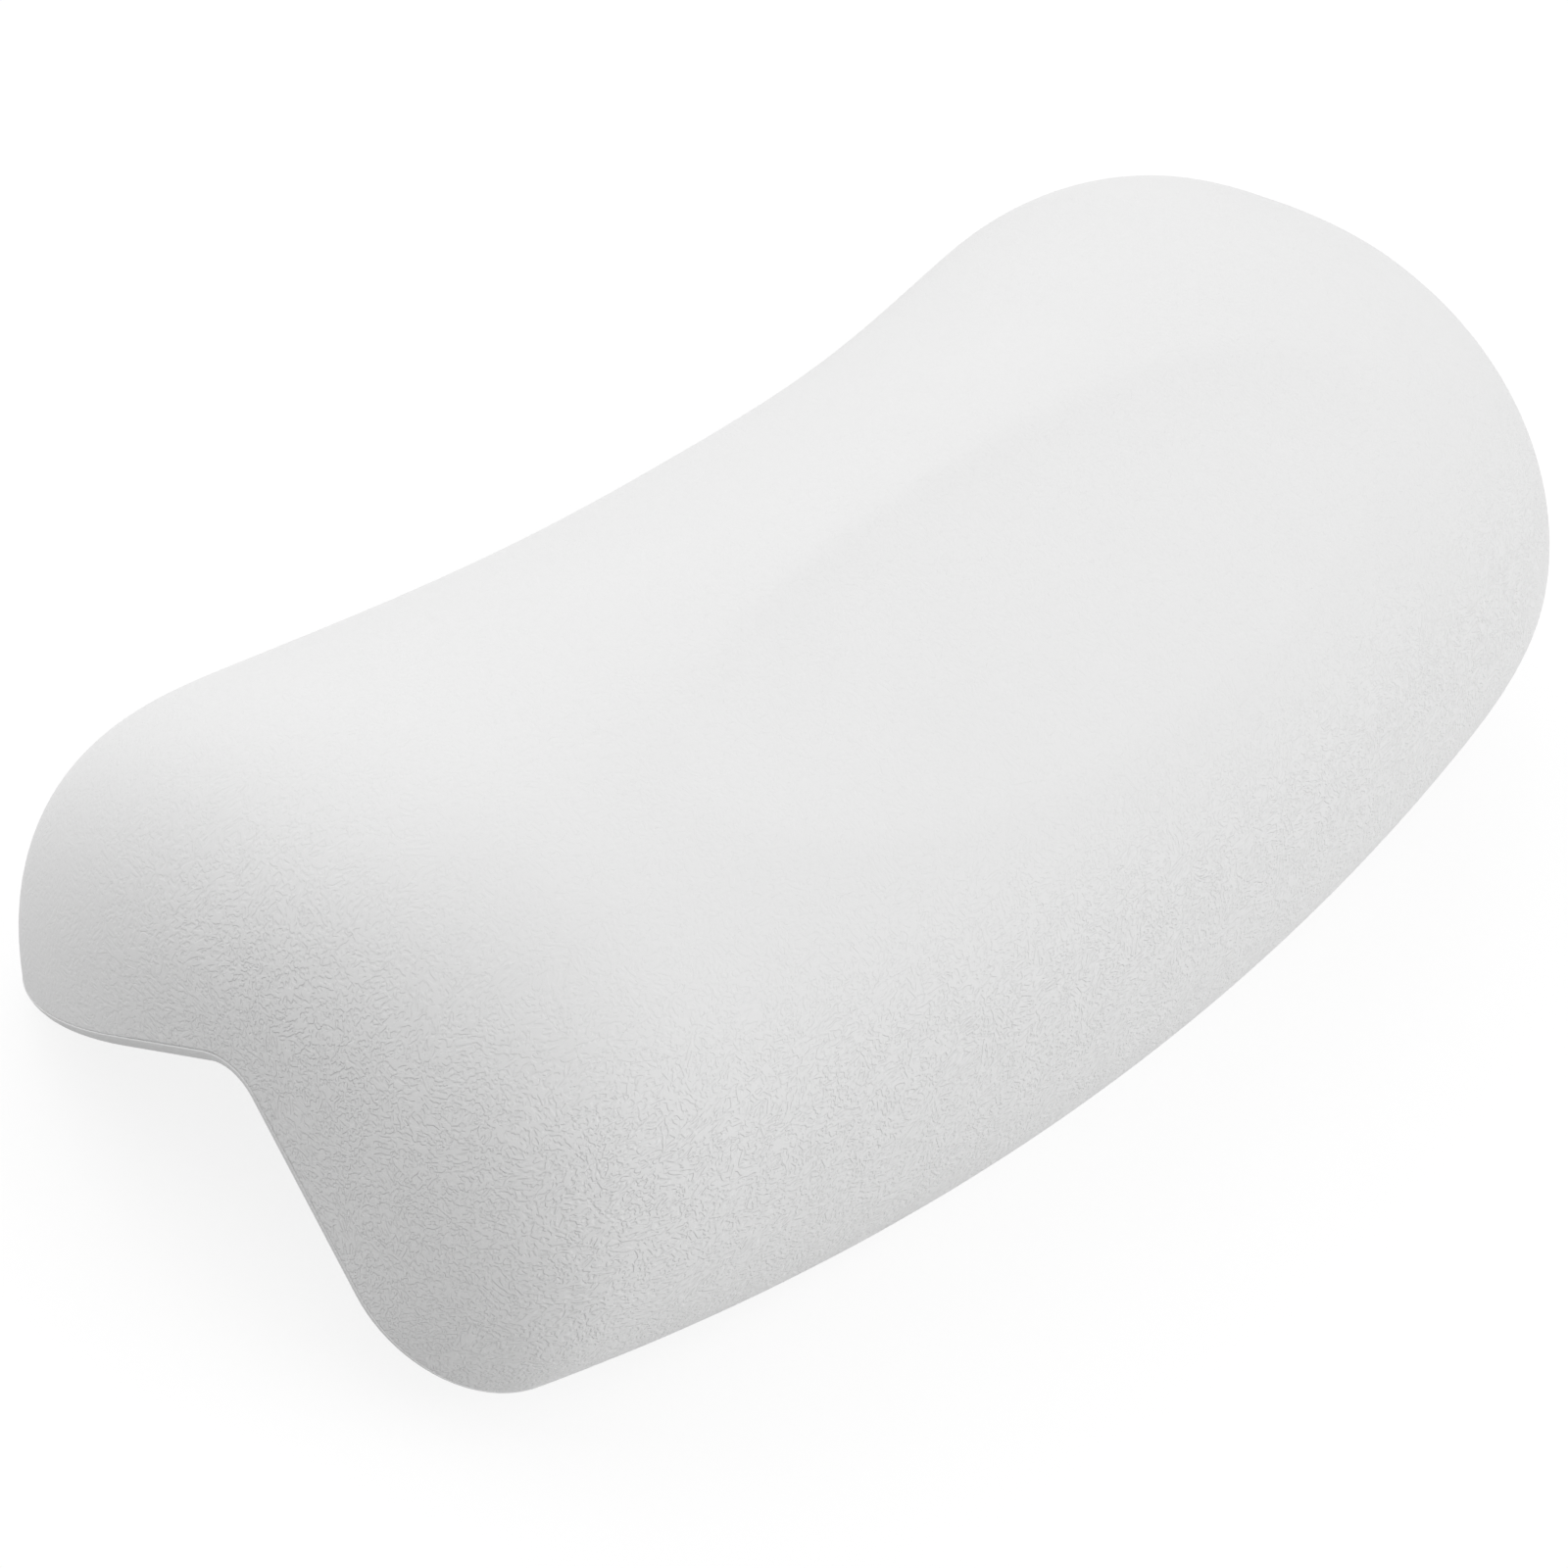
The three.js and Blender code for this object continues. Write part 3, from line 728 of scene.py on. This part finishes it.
bpy.ops.object.select_all(action="DESELECT")
bpy.ops.mesh.primitive_cube_add(size=1)
tab = bpy.context.object
tab.name = "pull_tab"
tab_length = tab_end - cup_land
tab.data.transform(Matrix.Diagonal((tab_width * MM, tab_length * MM, tab_thickness * MM, 1)))
tab_middle = (0, (cup_land + tab_length / 2) * MM, (cup_lip + tab_rise + tab_thickness / 2) * MM)
tab.data.transform(Matrix.Translation(tab_middle))
bpy.ops.object.mode_set(mode="EDIT")
bpy.ops.mesh.select_mode(type="EDGE")
bpy.ops.mesh.select_all(action="DESELECT")
bpy.ops.object.mode_set(mode="OBJECT")
for edge in tab.data.edges:
    ends = [tab.data.vertices[k].co for k in edge.vertices]
    upright = abs(ends[0].z - ends[1].z) > tab_thickness / 2 * MM
    edge.select = upright and min(end.y for end in ends) > tab_middle[1]
bpy.ops.object.mode_set(mode="EDIT")
tab_corner = (tab_width / 2 - tab_flat_end) * MM
bpy.ops.mesh.bevel(offset=tab_corner, segments=tab_corner_segments, affect="EDGES")
bpy.ops.object.mode_set(mode="OBJECT")
break_edges(tab, tab_edge_round)
combine(cup, tab, "UNION")
work_on(cup)
bpy.ops.object.shade_smooth_by_angle(angle=cup_smooth_angle)
seat_copies(cup, "cup", True)
print("cups:", len(seated["cup"]))

# %% [markdown]
# ## Helpers for the finishes
#
# Every colour is written as the sRGB hex value one would pick from a swatch, and turned to linear light in
# one place. Patterns are measured in millimetres and read Object coordinates, so their scale is one over
# their size in metres.

# %% Colour and node helpers
def linear_colour(code):
    """sRGB hex such as F0F0F0 as linear red, green, blue and alpha."""
    channels = [int(code[k : k + 2], 16) / 255 for k in (0, 2, 4)]
    return [c / 12.92 if c <= 0.04045 else ((c + 0.055) / 1.055) ** 2.4 for c in channels] + [1.0]


def add_node(tree, kind, inputs=None, **settings):
    """Adds a node, sets its properties, and fills its inputs with values or with links from sockets."""
    node = tree.nodes.new(kind)
    for name, value in settings.items():
        setattr(node, name, value)
    for socket, value in (inputs or {}).items():
        if isinstance(value, bpy.types.NodeSocket):
            tree.links.new(value, node.inputs[socket])
        else:
            node.inputs[socket].default_value = value
    return node


def new_finish(name):
    """Empty node material and its tree."""
    material = bpy.data.materials.new(name)
    material.use_nodes = True
    material.node_tree.nodes.clear()
    return material, material.node_tree


def dress(piece, material):
    """Gives a piece this finish alone."""
    piece.data.materials.clear()
    piece.data.materials.append(material)


print("the skin's white F0F0F0 is", round(linear_colour("F0F0F0")[0], 3), "in linear light")

# %% [markdown]
# ## Finish of the skins
#
# The skins are integral-skin polyurethane, sprayed white and foamed in a mould with a leather grain. The
# eye sees a soft, nearly matt white with a weak sheen, and close up short raised wrinkles about half a
# millimetre wide, a millimetre apart and two to four long. They lie in small bundles, each with a direction
# of its own. A picture texture could show that, but nodes keep it sharp. A Voronoi texture makes the
# bundles, and each of its cells turns the coordinates its own way. Noise that is stretched along one axis
# then draws the wrinkles, and a second layer lies over the first to hide the borders of the cells. The
# sprayed coat lies thicker on the crown and on the flap, where the photograph shows a shallower grain, so
# the grain fades there.

# %% Layer of wrinkles
bundle_wrinkles = 4.2
streak_share, streak_stretch = 0.62, (1, 1, 0.3)
ridge_low, ridge_high = 0.45, 0.65


def wrinkle_layer(tree, place, offset_mm, wrinkle_mm):
    """One layer of short raised wrinkles at this spacing, from 0 to 1, in bundles."""
    moved = add_node(tree, "ShaderNodeVectorMath", {
        0: place, 1: [offset_mm * MM] * 3,
    }, operation="ADD").outputs[0]
    bundles = add_node(tree, "ShaderNodeTexVoronoi", {
        "Vector": moved, "Scale": 1 / (bundle_wrinkles * wrinkle_mm * MM),
    })
    turns = add_node(tree, "ShaderNodeVectorMath", {
        0: bundles.outputs["Color"], "Scale": 2 * math.pi,
    }, operation="SCALE")
    own_way = add_node(tree, "ShaderNodeVectorRotate", {
        "Vector": moved, "Center": bundles.outputs["Position"], "Rotation": turns.outputs[0],
    }, rotation_type="EULER_XYZ")
    stretched = add_node(tree, "ShaderNodeVectorMath", {
        0: own_way.outputs[0], 1: streak_stretch,
    }, operation="MULTIPLY")
    streaks = add_node(tree, "ShaderNodeTexNoise", {
        "Vector": stretched.outputs[0], "Scale": 1 / (streak_share * wrinkle_mm * MM), "Detail": 0.0,
    })
    return add_node(tree, "ShaderNodeMapRange", {
        "Value": streaks.outputs["Fac"], "From Min": ridge_low, "From Max": ridge_high,
    }, interpolation_type="SMOOTHSTEP").outputs["Result"]


print("bundles are", bundle_wrinkles, "wrinkles wide, and streaks keep", streak_stretch, "of the scale")

# %% Skin finish
second_layer_mm = 371
crown_fade_mm, crown_grain_left = (54, 84), 0.2
flap_fade_mm, flap_grain_left = (2, 52), 0.25
rub_mm, rub_polish, rub_dulling = 18, 0.04, 0.05

# Most values of a noise texture lie in this range.
noise_low, noise_high = 0.3, 0.7


def skin_finish(name, colour, wrinkle_mm, wrinkle_height_mm, roughness):
    """Grained polyurethane skin, with wrinkles at this spacing and of this height."""
    material, tree = new_finish(name)
    place = add_node(tree, "ShaderNodeTexCoord").outputs["Object"]
    wrinkles = add_node(tree, "ShaderNodeMath", {
        0: wrinkle_layer(tree, place, 0, wrinkle_mm),
        1: wrinkle_layer(tree, place, second_layer_mm, wrinkle_mm),
    }, operation="MAXIMUM")
    axes = add_node(tree, "ShaderNodeSeparateXYZ", {0: place}).outputs
    up_crown = add_node(tree, "ShaderNodeMapRange", {
        "Value": axes["Z"], "From Min": crown_fade_mm[0] * MM, "From Max": crown_fade_mm[1] * MM,
        "To Min": 1.0, "To Max": crown_grain_left,
    }, interpolation_type="SMOOTHSTEP")
    over_flap = add_node(tree, "ShaderNodeMapRange", {
        "Value": axes["Y"], "From Min": flap_fade_mm[0] * MM, "From Max": flap_fade_mm[1] * MM,
        "To Min": 1.0, "To Max": flap_grain_left,
    }, interpolation_type="SMOOTHSTEP")
    depth = add_node(tree, "ShaderNodeMath", {
        0: up_crown.outputs["Result"], 1: over_flap.outputs["Result"],
    }, operation="MULTIPLY")
    grain = add_node(tree, "ShaderNodeMath", {
        0: wrinkles.outputs[0], 1: depth.outputs[0],
    }, operation="MULTIPLY")
    bump = add_node(tree, "ShaderNodeBump", {
        "Height": grain.outputs[0], "Strength": 1.0, "Distance": wrinkle_height_mm * MM,
    })
    rub = add_node(tree, "ShaderNodeTexNoise", {"Vector": place, "Scale": 1 / (rub_mm * MM), "Detail": 2.0})
    rough = add_node(tree, "ShaderNodeMapRange", {
        "Value": rub.outputs["Fac"], "From Min": noise_low, "From Max": noise_high,
        "To Min": roughness - rub_polish, "To Max": roughness + rub_dulling,
    })
    tone = add_node(tree, "ShaderNodeMix", {
        "Factor": rub.outputs["Fac"], "A": linear_colour(colour[1]), "B": linear_colour(colour[0]),
    }, data_type="RGBA")
    surface = add_node(tree, "ShaderNodeBsdfPrincipled", {
        "Base Color": tone.outputs["Result"],
        "Roughness": rough.outputs["Result"],
        "IOR": 1.5,
        "Specular IOR Level": 0.4,
        "Normal": bump.outputs["Normal"],
    })
    add_node(tree, "ShaderNodeOutputMaterial", {"Surface": surface.outputs["BSDF"]})
    return material


top_skin = skin_finish(
    "polyurethane_skin_leather_grain", ("F0F0F0", "EEEEEE"),
    wrinkle_mm=1.05, wrinkle_height_mm=0.13, roughness=0.55,
)
under_skin = skin_finish(
    "polyurethane_skin_fine_grain", ("EFEFEF", "ECECEC"),
    wrinkle_mm=0.8, wrinkle_height_mm=0.03, roughness=0.6,
)
dress(pillow_top, top_skin)
dress(underside, under_skin)
print("finishes:", top_skin.name, "and", under_skin.name)

# %% [markdown]
# ## Finishes of foam, plates, sockets and cups
#
# The foam is open-celled and dull. The plates and sockets are natural polypropylene with the faint texture
# of a spark-eroded mould. The cups are clear soft vinyl, which bends light like a lens, with a slight haze.
# Plain colours would do for the view of the photograph, but these pieces show from below or when a cup is
# pulled out, so each finish has a pattern of its own.

# %% Foam
foam_cell_mm, foam_cell_depth_mm = 0.9, 0.25
foam_finish, tree = new_finish("open_cell_polyurethane_foam")
place = add_node(tree, "ShaderNodeTexCoord").outputs["Object"]
cells = add_node(tree, "ShaderNodeTexVoronoi", {
    "Vector": place, "Scale": 1 / (foam_cell_mm * MM),
}, feature="F1")
cell_bump = add_node(tree, "ShaderNodeBump", {
    "Height": cells.outputs["Distance"], "Strength": 1.0, "Distance": foam_cell_depth_mm * MM,
})
# Painted shade: the colour darkens towards the middle of each cell, where the bump lies lowest, so the pits
# look shaded.
pit_shade_tone = add_node(tree, "ShaderNodeMix", {
    "Factor": cells.outputs["Distance"], "A": linear_colour("D8CFB2"), "B": linear_colour("F2EBD4"),
}, data_type="RGBA")
surface = add_node(tree, "ShaderNodeBsdfPrincipled", {
    "Base Color": pit_shade_tone.outputs["Result"],
    "Roughness": 0.95,
    "IOR": 1.5,
    "Normal": cell_bump.outputs["Normal"],
})
add_node(tree, "ShaderNodeOutputMaterial", {"Surface": surface.outputs["BSDF"]})
dress(foam, foam_finish)
print("finish:", foam_finish.name)

# %% Polypropylene
# The real grit is finer, and is drawn as coarse as it needs to show.
mould_grit_mm, grit_height_mm = 0.35, 0.02
flow_mm = 9
plastic_finish, tree = new_finish("natural_polypropylene_moulded")
place = add_node(tree, "ShaderNodeTexCoord").outputs["Object"]
grit = add_node(tree, "ShaderNodeTexNoise", {
    "Vector": place, "Scale": 1 / (mould_grit_mm * MM), "Detail": 2.0,
})
grit_bump = add_node(tree, "ShaderNodeBump", {
    "Height": grit.outputs["Fac"], "Strength": 1.0, "Distance": grit_height_mm * MM,
})
flow = add_node(tree, "ShaderNodeTexNoise", {"Vector": place, "Scale": 1 / (flow_mm * MM), "Detail": 1.0})
flow_tone = add_node(tree, "ShaderNodeMix", {
    "Factor": flow.outputs["Fac"], "A": linear_colour("DCDCD8"), "B": linear_colour("E8E8E5"),
}, data_type="RGBA")
surface = add_node(tree, "ShaderNodeBsdfPrincipled", {
    "Base Color": flow_tone.outputs["Result"],
    "Roughness": 0.42,
    "IOR": 1.49,
    "Normal": grit_bump.outputs["Normal"],
})
add_node(tree, "ShaderNodeOutputMaterial", {"Surface": surface.outputs["BSDF"]})
for piece in seated["socket"]:
    dress(piece, plastic_finish)
for node in ("pad_carrier_plate", "flap_carrier_plate"):
    dress(frame["nodes"][node], plastic_finish)
print("finish:", plastic_finish.name)

# %% Vinyl
haze_mm, ripple_height_mm = 6, 0.08
vinyl_finish, tree = new_finish("clear_soft_vinyl_moulded")
place = add_node(tree, "ShaderNodeTexCoord").outputs["Object"]
haze = add_node(tree, "ShaderNodeTexNoise", {"Vector": place, "Scale": 1 / (haze_mm * MM), "Detail": 2.0})
haze_rough = add_node(tree, "ShaderNodeMapRange", {
    "Value": haze.outputs["Fac"], "From Min": noise_low, "From Max": noise_high,
    "To Min": 0.08, "To Max": 0.2,
})
ripple_bump = add_node(tree, "ShaderNodeBump", {
    "Height": haze.outputs["Fac"], "Strength": 1.0, "Distance": ripple_height_mm * MM,
})
surface = add_node(tree, "ShaderNodeBsdfPrincipled", {
    "Base Color": linear_colour("EEF4F5"),
    "Roughness": haze_rough.outputs["Result"],
    "IOR": 1.53,
    "Transmission Weight": 0.85,
    "Normal": ripple_bump.outputs["Normal"],
})
add_node(tree, "ShaderNodeOutputMaterial", {"Surface": surface.outputs["BSDF"]})
for piece in seated["cup"]:
    dress(piece, vinyl_finish)
print("finish:", vinyl_finish.name)

# %% [markdown]
# ## Floor and light
#
# The photograph is a cut-out on white. Its tones fit three large softboxes, one behind the near half of the
# pillow, one behind its far end and one in front of its far end, with an even fill from the room and the
# floor, so that the near end falls into a light grey. The camera sees the room and the floor as white, and
# the floor keeps a faint shadow.

# %% Floor
floor_size = 40


def seen_directly(tree):
    """1 for rays from the camera, also by a mirror or a lens, and 0 for light that falls on the pillow."""
    rays = add_node(tree, "ShaderNodeLightPath")
    mirrored = add_node(tree, "ShaderNodeMath", {
        0: rays.outputs["Is Glossy Ray"], 1: rays.outputs["Is Transmission Ray"],
    }, operation="MAXIMUM")
    return add_node(tree, "ShaderNodeMath", {
        0: rays.outputs["Is Camera Ray"], 1: mirrored.outputs[0],
    }, operation="MAXIMUM").outputs[0]


bpy.ops.object.select_all(action="DESELECT")
bpy.ops.mesh.primitive_plane_add(size=floor_size)
floor = bpy.context.object
floor.name = "floor"

floor_finish, tree = new_finish("white_paper_floor")
paper = add_node(tree, "ShaderNodeBsdfDiffuse", {"Color": linear_colour("C4C4C4")})
paper_seen = add_node(tree, "ShaderNodeBsdfDiffuse", {"Color": linear_colour("7A7A7A")})
glow = add_node(tree, "ShaderNodeEmission", {"Color": (1, 1, 1, 1), "Strength": 0.84})
lit_paper = add_node(tree, "ShaderNodeAddShader", {0: paper_seen.outputs[0], 1: glow.outputs[0]})
shown = add_node(tree, "ShaderNodeMixShader", {
    0: seen_directly(tree), 1: paper.outputs[0], 2: lit_paper.outputs[0],
})
add_node(tree, "ShaderNodeOutputMaterial", {"Surface": shown.outputs[0]})
dress(floor, floor_finish)
print("floor:", floor_size, "m square")

# %% Room
room_level = 0.511
world = bpy.data.worlds.new("studio")
world.use_nodes = True
tree = world.node_tree
tree.nodes.clear()
room_fill = add_node(tree, "ShaderNodeBackground", {"Color": (1, 1, 1, 1), "Strength": room_level})
white_wall = add_node(tree, "ShaderNodeBackground", {"Color": (1, 1, 1, 1), "Strength": 1.0})
shown = add_node(tree, "ShaderNodeMixShader", {
    0: seen_directly(tree), 1: room_fill.outputs[0], 2: white_wall.outputs[0],
})
add_node(tree, "ShaderNodeOutputWorld", {"Surface": shown.outputs[0]})
bpy.context.scene.world = world
print("room fill of", room_level)

# %% Softboxes
softbox_distance, softbox_side = 1.6, 1.5

# Each lamp has a direction and a level. Its power grows with the square of its distance, so a level keeps
# its effect wherever the lamps stand.
softboxes = (
    ("rear_softbox", Vector((-0.321, 0.557, 0.766)), 0.372),
    ("far_softbox", Vector((0.453, 0.785, 0.423)), 0.222),
    ("front_softbox", Vector((0.376, -0.825, 0.423)), 0.446),
)
for name, way, level in softboxes:
    bpy.ops.object.light_add(type="AREA")
    lamp = bpy.context.object
    lamp.name = name
    lamp.data.shape = "SQUARE"
    lamp.data.size = softbox_side
    lamp.data.energy = level * math.pi**2 * softbox_distance**2
    lamp.location = aim_point + way * softbox_distance
    lamp.rotation_mode = "QUATERNION"
    lamp.rotation_quaternion = (-way).to_track_quat("-Z", "Y")
    print(name, "of", round(lamp.data.energy, 1), "W")

bpy.context.scene.view_settings.view_transform = "Standard"

# %% End: nothing left selected
bpy.ops.object.select_all(action="DESELECT")
